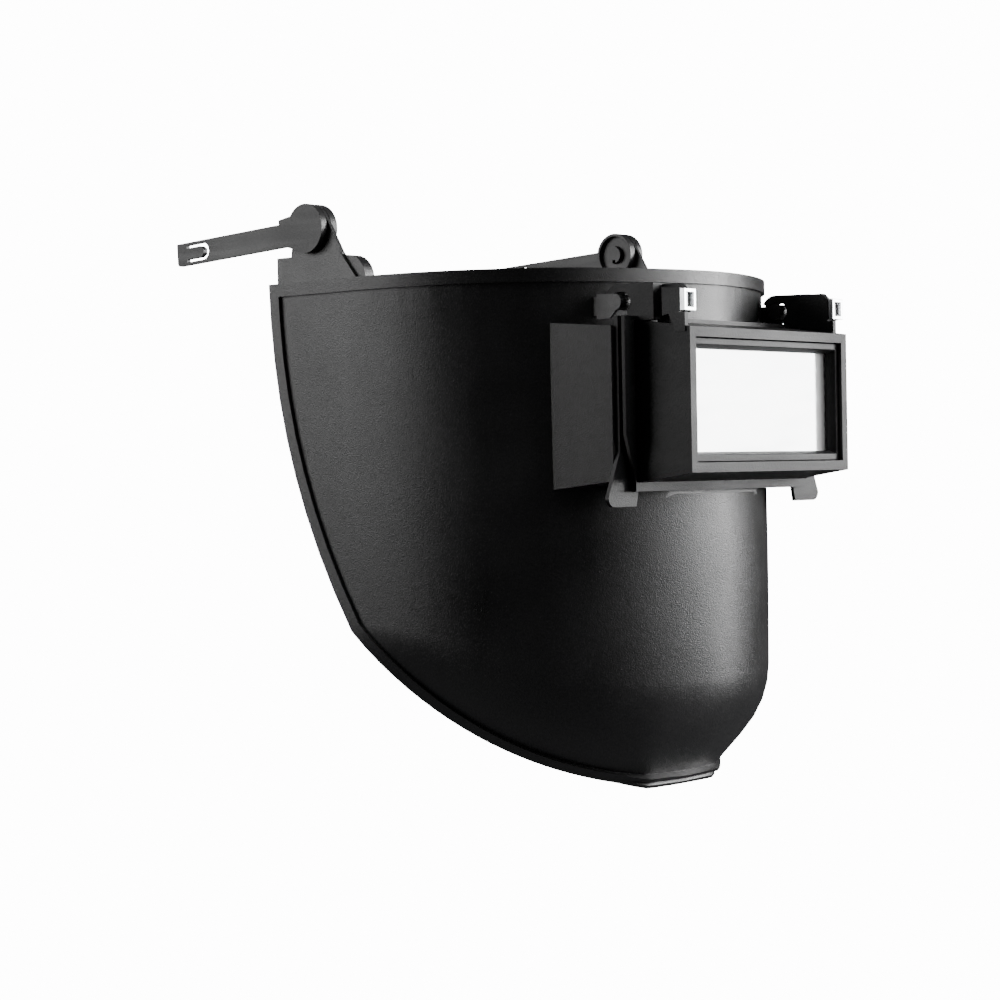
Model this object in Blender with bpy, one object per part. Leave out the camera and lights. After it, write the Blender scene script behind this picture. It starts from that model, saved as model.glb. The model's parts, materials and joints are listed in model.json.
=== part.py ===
"""Hard hat welding shield with a lift-up lens front.

Units are metres and +Z is up. The shield faces -Y, and the wearer's right is -X. The origin lies
midway between the two arm pivots, where the shield hangs from the sides of a hard hat.
Inside this script a place is given as side (+ to the wearer's left), fwd (forward of the rear
corners of the shell) and up (above the top rim), and place() turns it into world coordinates.
"""
import math

import bmesh
import bpy
import numpy as np
from mathutils import Matrix, Vector

MM = 0.001
GAP = 0.3 * MM
OVERSHOOT = 2 * MM
LAP = 0.4 * MM

# Shell
HALF_WIDTH = 111.8 * MM
NOSE_FWD = 168.1 * MM
STRAIGHT_FWD = 35.3 * MM
PLAN_SIDE_POWER = 1.709
PLAN_NOSE_POWER = 2.76
SIDE_DRAFT = 0.30
BULGE = 3.8 * MM
BULGE_DEPTH = 145 * MM
WALL = 2.4 * MM
KINK_DEPTH = 156 * MM
KINK_FWD = 43.5 * MM
REAR_EDGE_POWER = 2.2
CREASE_DROP = 40 * MM
CREASE_POWER = 1.5
FILLET_REACH = 17 * MM
LIP_HALF = 22.6 * MM
LIP_FWD = 141.2 * MM
LIP_DEPTH = 226.2 * MM
CHIN_SIDE_SLOPE = 1.0
CHIN_LIP_SLOPE = 0.253
CHIN_LEAD_OUT = (0.543, -0.318)
CHIN_LEAD_IN = (-0.055, 0.365)
CHIN_SPREAD = 1.3

# Raised band along every edge of the shell
BAND_WIDTH = 5.5 * MM
BAND_PROUD = 1.5 * MM
BAND_INSIDE = 0.5 * MM
BAND_OVERHANG = 0.4 * MM
LIP_PROUD = 3.2 * MM
LIP_GROOVE = 1.1 * MM
LIP_FADE = 12 * MM
GROOVE_SHARES = (0.27, 0.40, 0.55, 0.66)

# Arm pivots and the ears that carry them
PIVOT_FWD = 25.3 * MM
PIVOT_UP = 23.8 * MM
EAR_INSET = 0.5 * MM
EAR_OUT = HALF_WIDTH - EAR_INSET
EAR_THICK = 1.9 * MM
EAR_REAR = 4.0 * MM
EAR_FRONT = 54 * MM
EAR_BASE_UP = 12 * MM
EAR_SLOPE = 9.5 * MM
EAR_STEP = 0.6 * MM
GUSSET_REAR = 12 * MM
GUSSET_FRONT = 45 * MM
GUSSET_RADIUS = 11 * MM
GUSSET_TURN = 28
PAD_DEPTH = 4.8 * MM
PAD_UP = 10.7 * MM
PAD_REAR = 12 * MM
PAD_FRONT = 58.5 * MM
PAD_CORNER = 11 * MM
PAD_SINK = 0.9 * MM
RIM_SINK = 4 * MM
POST_RADIUS = 4.2 * MM
KEY_WIDTH = 1.8 * MM
KEY_DEPTH = 1.6 * MM

# Arms
HEAD_RADIUS = 11.1 * MM
HEAD_THICK = 3.4 * MM
ARM_OUT = EAR_OUT + GAP + HEAD_THICK
BLADE_THICK = 2.2 * MM
BLADE_HEIGHT = 10.6 * MM
BLADE_REACH = 86.3 * MM
BLADE_TILT = math.radians(3.05)
BLADE_DROP = 1.5 * MM
BLADE_CORNER = 1.6 * MM
BLADE_CHAMFER = 0.4 * MM
SHOULDER_REACH = 16.5 * MM
SHOULDER_RISE = 2.0 * MM
NECK_REACH = 4 * MM
NECK_RISE = 1.5 * MM
NECK_FALL = 3.0 * MM
TONGUE_LENGTH = 15.5 * MM
TONGUE_WIDTH = 5.2 * MM
TONGUE_SLOT = 1.35 * MM
TONGUE_TIP_GAP = 3.6 * MM
TONGUE_END_MARGIN = 6.6 * MM
CATCH_RISE = 0.8 * MM
CATCH_LENGTH = 1.8 * MM
CATCH_SETBACK = 0.6 * MM
CATCH_HALF = 1.6 * MM

# Cup inside each ear
CUP_THICK = 4.1 * MM
CUP_WALL = 1.6 * MM
CUP_FLOOR = 1.8 * MM

# Lens plates, 4 1/4 by 2 inch, and the openings in front of and behind them
LENS_WIDTH = 108 * MM
LENS_HEIGHT = 50.8 * MM
LENS_CENTRE = 57.7 * MM
LENS_PLAY = 0.4 * MM
LENS_PLAY_UP = 1.1 * MM
LENS_LAP = 3.0 * MM
LENS_LAP_UP = 3.4 * MM
FILTER_THICK = 2.5 * MM
SAFETY_THICK = 2.0 * MM
OPENING_WIDTH = LENS_WIDTH - 2 * LENS_LAP
OPENING_HEIGHT = LENS_HEIGHT - 2 * LENS_LAP_UP

# Box of the lift front, which frames the filter plate
BORDER = 4.2 * MM
BOX_WIDTH = LENS_WIDTH + 2 * (LENS_PLAY + BORDER)
BOX_HEIGHT = LENS_HEIGHT + 2 * (LENS_PLAY_UP + BORDER)
BOX_TOP = LENS_CENTRE - BOX_HEIGHT / 2
BOX_SIDE_DRAFT = 0.054
BOX_TOP_DRAFT = 0.145
BOX_WALL = 2.3 * MM
RECESS_DEPTH = 2.0 * MM
BEZEL_THICK = 4.9 * MM
BEZEL_CHAMFER = 1.4 * MM
SEAT_THICK = 2.3 * MM

# Tabbed rear plate and flange behind the box
PLATE_THICK = 1.8 * MM
GROOVE_WIDTH = 2.0 * MM
GROOVE_DEPTH = 3.0 * MM
MOAT_WIDTH = 3.1 * MM
FLANGE_THICK = 1.6 * MM
FLANGE_HALF = BOX_WIDTH / 2 + 11.2 * MM
FLANGE_TOP = BOX_TOP - 5.5 * MM
FLANGE_BOTTOM = BOX_TOP + BOX_HEIGHT + 7.6 * MM
FLANGE_SKEW_DEPTH = FLANGE_BOTTOM - 24.4 * MM
FLANGE_FOOT_HALF = BOX_WIDTH / 2 + 5 * MM
FLANGE_FOOT = 4 * MM
TAB_OUTER = FLANGE_HALF + 8.1 * MM
TAB_INNER = BOX_WIDTH / 2 + 0.4 * MM
TAB_BOTTOM = FLANGE_BOTTOM + 6.4 * MM
TAB_FLARE_DEPTH = FLANGE_BOTTOM - 17 * MM
TAB_CORNER = 4 * MM
TAB_SLOPE = 1.4 * MM
NOTCH_MARGIN = 4.3 * MM
NOTCH_DROP = 0.9 * MM

# Fixed lens housing in the front of the shell
HOUSING_FRONT = NOSE_FWD - 2.9 * MM
HOUSING_REAR = HOUSING_FRONT - 53.2 * MM
HOUSING_HALF = FLANGE_HALF + 2 * MM
HOUSING_TOP = BOX_TOP - 1.4 * MM
HOUSING_HEIGHT = BOX_HEIGHT + 4.4 * MM
HOUSING_SIDE_DRAFT = 0.18
HOUSING_TOP_DRAFT = 0.082
HOUSING_BOTTOM_DRAFT = 0.115
HOUSING_WALL = 2.3 * MM
HOLLOW_MARGIN = 0.4 * MM
HOLLOW_REACH = 10 * MM
NOSE_SHELF = 2.4 * MM
POCKET_CLEAR = 1.5 * MM
BOX_FRONT = HOUSING_FRONT + 31.7 * MM

# Hinge of the lift front
HINGE_FWD = HOUSING_FRONT - 4.2 * MM
HINGE_DEPTH = HOUSING_TOP - 10.5 * MM
PIN_RADIUS = 3.5 * MM
PIN_STEP = 0.02 * MM
PIN_PROUD = 0.8 * MM
PIN_SIDES = 24
HOOK_OUT = BOX_WIDTH / 2 + 2.5 * MM
HOOK_WIDTH = 6.8 * MM
HOOK_IN = HOOK_OUT - HOOK_WIDTH
HOOK_RADIUS = 7.7 * MM
HOOK_BOTTOM = HINGE_DEPTH + 8.4 * MM
HOOK_FRONT = HINGE_FWD + 18.8 * MM
HOOK_CLEAR = 0.8 * MM
HOOK_TIP_TURN = 150
HOOK_TOP_TURN = 95
HOOK_HEEL = 5.2 * MM
HOOK_FALL = 0.5 * MM
THROAT_OFFSET = 2.1 * MM
THROAT_LOW_TURN = -60
THROAT_HIGH_TURN = 80
THROAT_TOP_TURN = 92
LUG_THICK = 1.6 * MM
LUG_OUT = HOOK_OUT + GAP + LUG_THICK
LUG_REAR = HINGE_FWD - 10.5 * MM
LUG_RISE = 4.0 * MM
LUG_FALL = 6.8 * MM
FOOT_REAR = HINGE_FWD - 18 * MM
FOOT_FRONT = HINGE_FWD - 8.3 * MM
FOOT_WIDTH = 4.1 * MM
FOOT_RISE = 3.0 * MM
FOOT_FALL = 5.2 * MM

# Clip towers on top of the box
TOWER_FRONT = BOX_FRONT - 2 * MM
CLIP_THICK = 2.4 * MM
CLIP_RECESS = 1.9 * MM
CLIP_MARGIN = 1.5 * MM
CLIP_HEIGHT = 9.2 * MM
CLIP_TOP = BOX_TOP - 15.9 * MM
CLIP_BOTTOM = CLIP_TOP + CLIP_HEIGHT
BLOCK_FRONT = TOWER_FRONT - CLIP_THICK - GAP
BLOCK_LENGTH = 9.3 * MM
BLOCK_REAR = BLOCK_FRONT - BLOCK_LENGTH
BLOCK_OUT = BOX_WIDTH / 2 + 0.7 * MM
BLOCK_IN = BLOCK_OUT - 8 * MM
BLOCK_TOP = CLIP_TOP - 1.2 * MM
BLOCK_BOTTOM_FRONT = CLIP_BOTTOM + 0.1 * MM
BLOCK_BOTTOM_REAR = BLOCK_BOTTOM_FRONT + 1.6 * MM
BLOCK_FALL = 0.8 * MM
BLOCK_INSET = 0.2 * MM
WEB_THICK = 3 * MM
WEB_TOP = BLOCK_TOP - 1.5 * MM
WEB_SLOPE = 2.4 * MM
WEB_LEDGE = 1.2 * MM
WEB_LAP = 3 * MM
WEB_FOOT = 5 * MM
LEG_THICK = 2.3 * MM
LEG_REACH = 8.4 * MM
LEG_SLOPE = 3 * MM

# Fineness of the curved surfaces
PLAN_STEPS = 30
WALL_ROWS = 9
FILLET_ROWS = 4
CHIN_ROWS = 3
ROUND_STEPS = 32
FINE_STEPS = 120
TINY = 1e-6

COLOURS = {
    "black": ((0.020, 0.020, 0.021, 1), 0.45, 0.0),
    "lens": ((0.85, 0.88, 0.88, 1), 0.05, 0.0),
    "steel": ((0.62, 0.63, 0.64, 1), 0.3, 1.0),
}


def clear_scene():
    for obj in list(bpy.data.objects):
        bpy.data.objects.remove(obj, do_unlink=True)


def material(name, kind):
    colour, roughness, metallic = COLOURS[kind]
    mat = bpy.data.materials.new(name)
    mat.use_nodes = True
    shader = mat.node_tree.nodes["Principled BSDF"]
    shader.inputs["Base Color"].default_value = colour
    shader.inputs["Roughness"].default_value = roughness
    shader.inputs["Metallic"].default_value = metallic
    mat.diffuse_color = colour
    return mat


def place(side, fwd, up):
    """World coordinates of a place given by side, forward distance and height above the rim."""
    return (side, PIVOT_FWD - fwd, up - PIVOT_UP)


def add_object(name, verts, faces, kind=None):
    mesh = bpy.data.meshes.new(name)
    mesh.from_pydata([tuple(float(c) for c in v) for v in verts], [], faces)
    bm = bmesh.new()
    bm.from_mesh(mesh)
    bmesh.ops.recalc_face_normals(bm, faces=bm.faces)
    bm.to_mesh(mesh)
    bm.free()
    obj = bpy.data.objects.new(name, mesh)
    bpy.context.scene.collection.objects.link(obj)
    if kind:
        mesh.materials.append(material(name + "_finish", kind))
    return obj


def loft(name, rings, kind=None, closed=True):
    """A solid through rings of equal point counts; the end rings become faces if it isn't closed."""
    count = len(rings[0])
    verts = [p for ring in rings for p in ring]
    faces = []
    last = len(rings) if closed else len(rings) - 1
    for i in range(last):
        a = i * count
        b = ((i + 1) % len(rings)) * count
        for j in range(count):
            k = (j + 1) % count
            faces.append((a + j, a + k, b + k, b + j))
    if not closed:
        faces.append(tuple(reversed(range(count))))
        faces.append(tuple(range((len(rings) - 1) * count, len(rings) * count)))
    return add_object(name, verts, faces, kind)


def side_prism(name, outline, side_a, side_b, kind=None):
    """Extrude a profile of (fwd, up) points sideways from side_a to side_b."""
    rings = [[place(side, fwd, up) for fwd, up in outline] for side in (side_a, side_b)]
    return loft(name, rings, kind, closed=False)


def front_prism(name, outline, fwd_a, fwd_b, kind=None):
    """Extrude a profile of (side, up) points forward from fwd_a to fwd_b."""
    rings = [[place(side, fwd, up) for side, up in outline] for fwd in (fwd_a, fwd_b)]
    return loft(name, rings, kind, closed=False)


def box(name, side_a, side_b, fwd_a, fwd_b, up_a, up_b, kind=None):
    outline = [(side_a, up_a), (side_b, up_a), (side_b, up_b), (side_a, up_b)]
    return front_prism(name, outline, fwd_a, fwd_b, kind)


def tapered_box(name, fwd_a, half_a, top_a, bottom_a, fwd_b, half_b, top_b, bottom_b, kind=None):
    def ring(fwd, half, top, bottom):
        return [place(s * half, fwd, -u) for s, u in ((-1, bottom), (1, bottom), (1, top), (-1, top))]
    return loft(name, [ring(fwd_a, half_a, top_a, bottom_a), ring(fwd_b, half_b, top_b, bottom_b)],
                kind, closed=False)


def rectangle(half_width, half_height, centre_depth):
    return [(-half_width, -centre_depth - half_height), (half_width, -centre_depth - half_height),
            (half_width, -centre_depth + half_height), (-half_width, -centre_depth + half_height)]


def arc(fwd, up, radius, start, end, steps):
    """Points of an arc, angles in degrees from straight forward towards straight up."""
    angles = np.radians(np.linspace(start, end, steps + 1))
    return [(fwd + radius * math.cos(a), up + radius * math.sin(a)) for a in angles]


def circle(fwd, up, radius, steps=ROUND_STEPS):
    return arc(fwd, up, radius, 0, 360, steps)[:-1]


def combine(target, other, operation):
    """Apply one Boolean of another object to the target and remove the other."""
    mod = target.modifiers.new(operation, "BOOLEAN")
    mod.operation = operation
    mod.solver = "EXACT"
    mod.object = other
    bpy.context.view_layer.objects.active = target
    target.select_set(True)
    bpy.ops.object.modifier_apply(modifier=mod.name)
    target.select_set(False)
    bpy.data.objects.remove(other, do_unlink=True)
    return target


def unite(target, *others):
    for other in others:
        combine(target, other, "UNION")
    return target


def cut(target, *others):
    for other in others:
        combine(target, other, "DIFFERENCE")
    return target


def finish(obj, smooth_angle=30):
    obj.data.shade_smooth()
    obj.data.set_sharp_from_angle(angle=math.radians(smooth_angle))
    return obj


def hang(obj, fwd, up):
    """Put a moving piece's origin on its joint's axis, at the middle of the shield."""
    pivot = Vector(place(0, fwd, up))
    obj.data.transform(Matrix.Translation(-pivot))
    obj.location = pivot
    return obj


def smooth_share(share, power):
    return math.sin(math.pi / 2 * min(max(share, 0.0), 1.0)) ** power


def plan_point(turn, depth, inset=0.0):
    """Outer face of the wall seen from above; turn 0 is the nose, 1 where the sides run straight."""
    angle = math.pi / 2 * turn
    narrow = 1 - SIDE_DRAFT * depth
    nose = NOSE_FWD + BULGE * smooth_share(depth / BULGE_DEPTH, 2) - inset
    side = (HALF_WIDTH * narrow - inset) * math.sin(angle) ** (2 / PLAN_SIDE_POWER)
    fwd = STRAIGHT_FWD + (nose - STRAIGHT_FWD) * math.cos(angle) ** (2 / PLAN_NOSE_POWER)
    return side, fwd


def plan_at(share, depth, rear_fwd, inset=0.0):
    """Point at a share of the way from the nose to the rear edge, evenly along the wall."""
    fine = [plan_point(i / FINE_STEPS, depth, inset) for i in range(FINE_STEPS + 1)]
    if rear_fwd < STRAIGHT_FWD:
        fine.append((fine[-1][0], rear_fwd))
    fine = np.array(fine)
    if rear_fwd >= STRAIGHT_FWD:
        keep = fine[:, 1] > rear_fwd
        last = int(keep.sum())
        a, b = fine[last - 1], fine[min(last, len(fine) - 1)]
        mix = (a[1] - rear_fwd) / max(a[1] - b[1], TINY)
        fine = np.vstack([fine[:last], a + (b - a) * mix])
    steps = np.r_[0, np.cumsum(np.linalg.norm(np.diff(fine, axis=0), axis=1))]
    along = share * steps[-1]
    return np.interp(along, steps, fine[:, 0]), np.interp(along, steps, fine[:, 1])


def rear_edge_fwd(depth):
    return KINK_FWD * min(depth / KINK_DEPTH, 1.0) ** REAR_EDGE_POWER


def wall_point(share, depth):
    """Outer face of the wall at a share of the way round, nose 0 to rear edge 1."""
    side, fwd = plan_at(abs(share), depth, rear_edge_fwd(depth))
    return np.array([math.copysign(side, share), fwd, -depth])


def crease_depth(share):
    fwd = plan_at(abs(share), KINK_DEPTH, KINK_FWD)[1]
    reach = (fwd - KINK_FWD) / (NOSE_FWD - KINK_FWD)
    return KINK_DEPTH + CREASE_DROP * smooth_share(reach, CREASE_POWER)


def chin_depth(fwd):
    """Depth of the lower edge in side view, a cubic from the kink to the lip."""
    length = LIP_FWD - KINK_FWD
    h = (fwd - KINK_FWD) / length
    leave = (h ** 3 - 2 * h ** 2 + h) * length * CHIN_SIDE_SLOPE
    arrive = (h ** 3 - h ** 2) * length * CHIN_LIP_SLOPE
    rise = 3 * h ** 2 - 2 * h ** 3
    return KINK_DEPTH + (LIP_DEPTH - KINK_DEPTH) * rise + leave + arrive


def chin_point(share):
    """Lower edge of the shell at a share of the way from the middle of the lip to the kink."""
    kink_side = HALF_WIDTH * (1 - SIDE_DRAFT * KINK_DEPTH)
    corner = np.array([LIP_HALF, LIP_FWD])
    kink = np.array([kink_side, KINK_FWD])
    lead_out = corner + np.array(CHIN_LEAD_OUT) * (kink_side - LIP_HALF)
    lead_in = kink + np.array(CHIN_LEAD_IN) * (LIP_FWD - KINK_FWD)
    line = [np.array([0.0, LIP_FWD])]
    for t in np.linspace(0, 1, FINE_STEPS + 1):
        u = 1 - t
        line.append(u ** 3 * corner + 3 * u * u * t * lead_out + 3 * u * t * t * lead_in + t ** 3 * kink)
    line = np.array(line)
    steps = np.r_[0, np.cumsum(np.linalg.norm(np.diff(line, axis=0), axis=1))]
    along = abs(share) ** CHIN_SPREAD * steps[-1]
    side = np.interp(along, steps, line[:, 0])
    fwd = np.interp(along, steps, line[:, 1])
    return np.array([math.copysign(side, share), fwd, -chin_depth(fwd)])


def shell_column(share):
    """Outer face of the shell from the rim down over the crease to the lower edge."""
    crease = crease_depth(share)
    foot = chin_point(share)
    corner = wall_point(share, crease)
    fall = foot - corner
    length = float(np.linalg.norm(fall))
    if length < TINY:
        start = crease
        reach = 0.0
    else:
        reach = min(FILLET_REACH, length / 2)
        start = crease - reach
    rows = [wall_point(share, start * i / WALL_ROWS) for i in range(WALL_ROWS + 1)]
    if reach > 0:
        above = rows[-1]
        below = corner + fall * reach / length
        for t in np.linspace(0, 1, FILLET_ROWS + 1)[1:]:
            rows.append((1 - t) ** 2 * above + 2 * t * (1 - t) * corner + t * t * below)
        for t in np.linspace(0, 1, CHIN_ROWS + 1)[1:]:
            rows.append(below + (foot - below) * t)
    else:
        rows.extend([corner] * (FILLET_ROWS + CHIN_ROWS))
    return rows


def shell_sheet():
    """Grid of the outer face, its triangles and its edge loop, as arrays in side, fwd, up."""
    count = WALL_ROWS + FILLET_ROWS + CHIN_ROWS + 1
    shares = [i / PLAN_STEPS for i in range(-PLAN_STEPS, PLAN_STEPS + 1)]
    verts = []
    index = []
    for share in shares:
        column = shell_column(share)
        ids = []
        for row, point in enumerate(column):
            if row > WALL_ROWS and abs(share) == 1:
                ids.append(ids[-1])
            else:
                ids.append(len(verts))
                verts.append(point)
        index.append(ids)
    faces = []
    for a, b in zip(index[:-1], index[1:]):
        for r in range(count - 1):
            ring = []
            for i in (a[r], a[r + 1], b[r + 1], b[r]):
                if i not in ring:
                    ring.append(i)
            if len(ring) > 2:
                faces.append(tuple(ring))
    edge = [ids[0] for ids in index]
    edge += index[-1][1:WALL_ROWS]
    edge += [ids[-1] for ids in reversed(index)]
    edge += list(reversed(index[0][1:WALL_ROWS]))
    return np.array(verts), faces, edge


def vertex_normals(verts, faces):
    normals = np.zeros_like(verts)
    for face in faces:
        p = verts[list(face)]
        n = np.cross(p[1] - p[0], p[2] - p[0])
        if len(face) == 4:
            n = n + np.cross(p[2] - p[0], p[3] - p[0])
        for i in face:
            normals[i] += n
    normals /= np.linalg.norm(normals, axis=1)[:, None]
    middle = verts.mean(axis=0)
    if float(((verts - middle) * normals).sum()) < 0:
        normals = -normals
    return normals


def shell_wall(verts, faces, edge, normals):
    inner = verts - normals * WALL
    count = len(verts)
    points = [place(*p) for p in np.vstack([verts, inner])]
    all_faces = [tuple(f) for f in faces]
    all_faces += [tuple(i + count for i in reversed(f)) for f in faces]
    for a, b in zip(edge, edge[1:] + edge[:1]):
        all_faces.append((a, b, b + count, a + count))
    return add_object("face_shell", points, all_faces, "black")


def lip_share(point):
    """1 on the lip, falling to 0 a short way up each side of it."""
    if point[2] > -KINK_DEPTH:
        return 0.0
    past = max(abs(point[0]) - LIP_HALF, 0.0)
    return max(0.0, 1 - past / LIP_FADE)


def shell_band(verts, edge, normals):
    """Closed strip that thickens the shell along its whole edge, with a groove along the lip."""
    rings = []
    total = len(edge)
    for i in range(total):
        here = verts[edge[i]]
        back = here - verts[edge[i - 1]]
        ahead = verts[edge[(i + 1) % total]] - here
        back = back / np.linalg.norm(back)
        ahead = ahead / np.linalg.norm(ahead)
        n = normals[edge[i]]
        into_a = np.cross(n, back)
        into_b = np.cross(n, ahead)
        into = (into_a + into_b) / (1 + float(into_a @ into_b))
        if float(into @ (verts.mean(axis=0) - here)) < 0:
            into = -into
        lip = lip_share(here)
        out = BAND_PROUD + (LIP_PROUD - BAND_PROUD) * lip
        groove = LIP_GROOVE * lip
        inside = WALL + BAND_INSIDE
        start, floor_start, floor_end, end = [share * BAND_WIDTH for share in GROOVE_SHARES]
        section = [(-BAND_OVERHANG, -inside), (BAND_WIDTH, -inside), (BAND_WIDTH, out), (end, out),
                   (floor_end, out - groove), (floor_start, out - groove), (start, out),
                   (-BAND_OVERHANG, out)]
        rings.append([place(*(here + into * a + n * b)) for a, b in section])
    return loft("band", rings)


def ear(sign):
    """Upright ear on a rear corner: a base on the rim, a round-topped gusset and an inner pad."""
    base = side_prism("ear_base", [
        (EAR_REAR, -RIM_SINK), (EAR_FRONT, -RIM_SINK), (EAR_FRONT, BAND_OVERHANG),
        (EAR_FRONT - EAR_SLOPE, EAR_BASE_UP), (EAR_REAR, EAR_BASE_UP)],
        sign * (EAR_OUT - EAR_THICK - EAR_STEP), sign * (EAR_OUT + EAR_STEP))
    crown = arc(PIVOT_FWD, PIVOT_UP, GUSSET_RADIUS, GUSSET_TURN, 180, ROUND_STEPS // 2)
    foot = EAR_BASE_UP - RIM_SINK
    outline = crown + [(GUSSET_REAR, foot), (GUSSET_FRONT, foot),
                       (GUSSET_FRONT, EAR_BASE_UP)]
    gusset = side_prism("gusset", outline, sign * (EAR_OUT - EAR_THICK), sign * EAR_OUT)
    pad_in = EAR_OUT - EAR_THICK - PAD_DEPTH
    pad_outline = [(PAD_REAR, -RIM_SINK), (PAD_FRONT, -RIM_SINK)]
    pad_outline += arc(PAD_FRONT - PAD_CORNER, PAD_UP - PAD_CORNER, PAD_CORNER, 0, 90, 6)
    pad_outline += [(PAD_REAR, PAD_UP)]
    pad = side_prism("pad", pad_outline, sign * pad_in, sign * (EAR_OUT - PAD_SINK))
    bore = side_prism("bore", circle(PIVOT_FWD, PIVOT_UP, POST_RADIUS + GAP),
                      sign * (EAR_OUT - EAR_THICK - OVERSHOOT), sign * (EAR_OUT + OVERSHOOT))
    return unite(base, gusset, pad), bore


def wall_hollow(depths, inset, front):
    """Space inside the shell's wall between the depths, with an inset, up to a forward limit."""
    rings = []
    for depth in depths:
        half = [plan_point(i / PLAN_STEPS, depth, inset) for i in range(PLAN_STEPS + 1)]
        half = [(s, min(f, front)) for s, f in half]
        back = [(half[-1][0], STRAIGHT_FWD - HOLLOW_REACH)]
        line = [(-s, f) for s, f in reversed(half[1:])] + half + back + [(-back[0][0], back[0][1])]
        rings.append([place(s, f, -depth) for s, f in line])
    return loft("hollow", rings, closed=False)


def hinge_lug(sign):
    """Plate on a foot beside the housing, with the stub pin that the hook turns on."""
    outline = arc(HINGE_FWD, -HINGE_DEPTH, PIN_RADIUS, -90, 90, 12)
    outline += [(LUG_REAR, -HINGE_DEPTH + LUG_RISE), (LUG_REAR, -HINGE_DEPTH - LUG_FALL),
                (HINGE_FWD - PIN_RADIUS, -HINGE_DEPTH - LUG_FALL)]
    lug = side_prism("lug", outline, sign * (LUG_OUT - LUG_THICK), sign * LUG_OUT)
    foot_out = LUG_OUT - LUG_THICK + LAP
    foot = box("foot", sign * (foot_out - FOOT_WIDTH), sign * foot_out, FOOT_REAR, FOOT_FRONT,
               -HINGE_DEPTH - FOOT_FALL, -HINGE_DEPTH + FOOT_RISE)
    foot_depths = (HINGE_DEPTH - FOOT_RISE - OVERSHOOT, HINGE_DEPTH + FOOT_FALL + OVERSHOOT)
    cut(foot, wall_hollow(foot_depths, WALL / 2, NOSE_FWD))
    pin = side_prism("pin", circle(HINGE_FWD, -HINGE_DEPTH, PIN_RADIUS - PIN_STEP, PIN_SIDES),
                     sign * (HOOK_IN - PIN_PROUD), sign * (LUG_OUT + PIN_PROUD))
    return unite(lug, foot, pin)


def housing_size(fwd):
    """Half width, top and bottom depth of the housing's outside at a forward place."""
    back = HOUSING_FRONT - fwd
    return (HOUSING_HALF + back * HOUSING_SIDE_DRAFT, HOUSING_TOP - back * HOUSING_TOP_DRAFT,
            HOUSING_TOP + HOUSING_HEIGHT + back * HOUSING_BOTTOM_DRAFT)


def nose_fill(depth_a, depth_b):
    """Solid behind the nose that joins it to the housing's front wall between two depths."""
    wall_fwd = HOUSING_FRONT - HOUSING_WALL
    rings = []
    for depth in (depth_a, depth_b):
        turns = np.linspace(0, 1, FINE_STEPS + 1)
        reach = max(t for t in turns if plan_point(t, depth, WALL / 2)[1] > wall_fwd + LAP)
        line = []
        for t in np.linspace(-reach, reach, ROUND_STEPS // 2 + 1):
            side, fwd = plan_point(abs(t), depth, WALL / 2)
            line.append(place(math.copysign(side, t), fwd, -depth))
        end = plan_point(reach, depth, WALL / 2)[0]
        line += [place(end, wall_fwd, -depth), place(-end, wall_fwd, -depth)]
        rings.append(line)
    return loft("nose_fill", rings, closed=False)


def build_shell():
    verts, faces, edge = shell_sheet()
    normals = vertex_normals(verts, faces)
    shell = shell_wall(verts, faces, edge, normals)
    rear_half, rear_top, rear_bottom = housing_size(HOUSING_REAR)
    front_half, front_top, front_bottom = housing_size(HOUSING_FRONT)
    block = tapered_box("housing", HOUSING_REAR, rear_half, rear_top, rear_bottom,
                        HOUSING_FRONT, front_half, front_top, front_bottom)
    hollow_depths = (HOUSING_TOP - HOLLOW_REACH, LENS_CENTRE, HOUSING_TOP + HOUSING_HEIGHT + HOLLOW_REACH)
    cut(block, wall_hollow(hollow_depths, WALL + HOLLOW_MARGIN, HOUSING_FRONT - HOUSING_WALL))
    unite(shell, shell_band(verts, edge, normals), block)
    pocket_floor = FLANGE_BOTTOM + POCKET_CLEAR
    unite(shell, nose_fill(HOUSING_TOP - NOSE_SHELF, HOUSING_TOP + HOUSING_WALL),
          nose_fill(front_bottom - HOUSING_WALL, pocket_floor + NOSE_SHELF))
    pocket = box("pocket", -FLANGE_HALF, FLANGE_HALF, HOUSING_FRONT, BOX_FRONT,
                 -pocket_floor, -HOUSING_TOP)
    wall_fwd = HOUSING_FRONT - HOUSING_WALL
    half, top, bottom = housing_size(wall_fwd)
    room = tapered_box("room", HOUSING_REAR - OVERSHOOT, rear_half - HOUSING_WALL,
                       rear_top + HOUSING_WALL, rear_bottom - HOUSING_WALL,
                       wall_fwd, half - HOUSING_WALL, top + HOUSING_WALL, bottom - HOUSING_WALL)
    window = front_prism("window", rectangle(OPENING_WIDTH / 2, OPENING_HEIGHT / 2, LENS_CENTRE),
                         wall_fwd - OVERSHOOT, HOUSING_FRONT + OVERSHOOT)
    cut(shell, pocket, room, window)
    for sign in (-1, 1):
        ear_solid, bore = ear(sign)
        unite(shell, ear_solid, hinge_lug(sign))
        cut(shell, bore)
    return finish(shell, smooth_angle=28)


def build_safety_plate():
    front = HOUSING_FRONT - HOUSING_WALL - GAP
    outline = rectangle(LENS_WIDTH / 2, LENS_HEIGHT / 2, LENS_CENTRE)
    return front_prism("safety_plate", outline, front - SAFETY_THICK, front, "lens")


def box_size(fwd):
    """Half width, top and bottom depth of the lift front's box at a forward place."""
    back = BOX_FRONT - fwd
    half_width = BOX_WIDTH / 2 + back * BOX_SIDE_DRAFT
    half_height = BOX_HEIGHT / 2 + back * BOX_TOP_DRAFT
    return half_width, LENS_CENTRE - half_height, LENS_CENTRE + half_height


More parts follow.
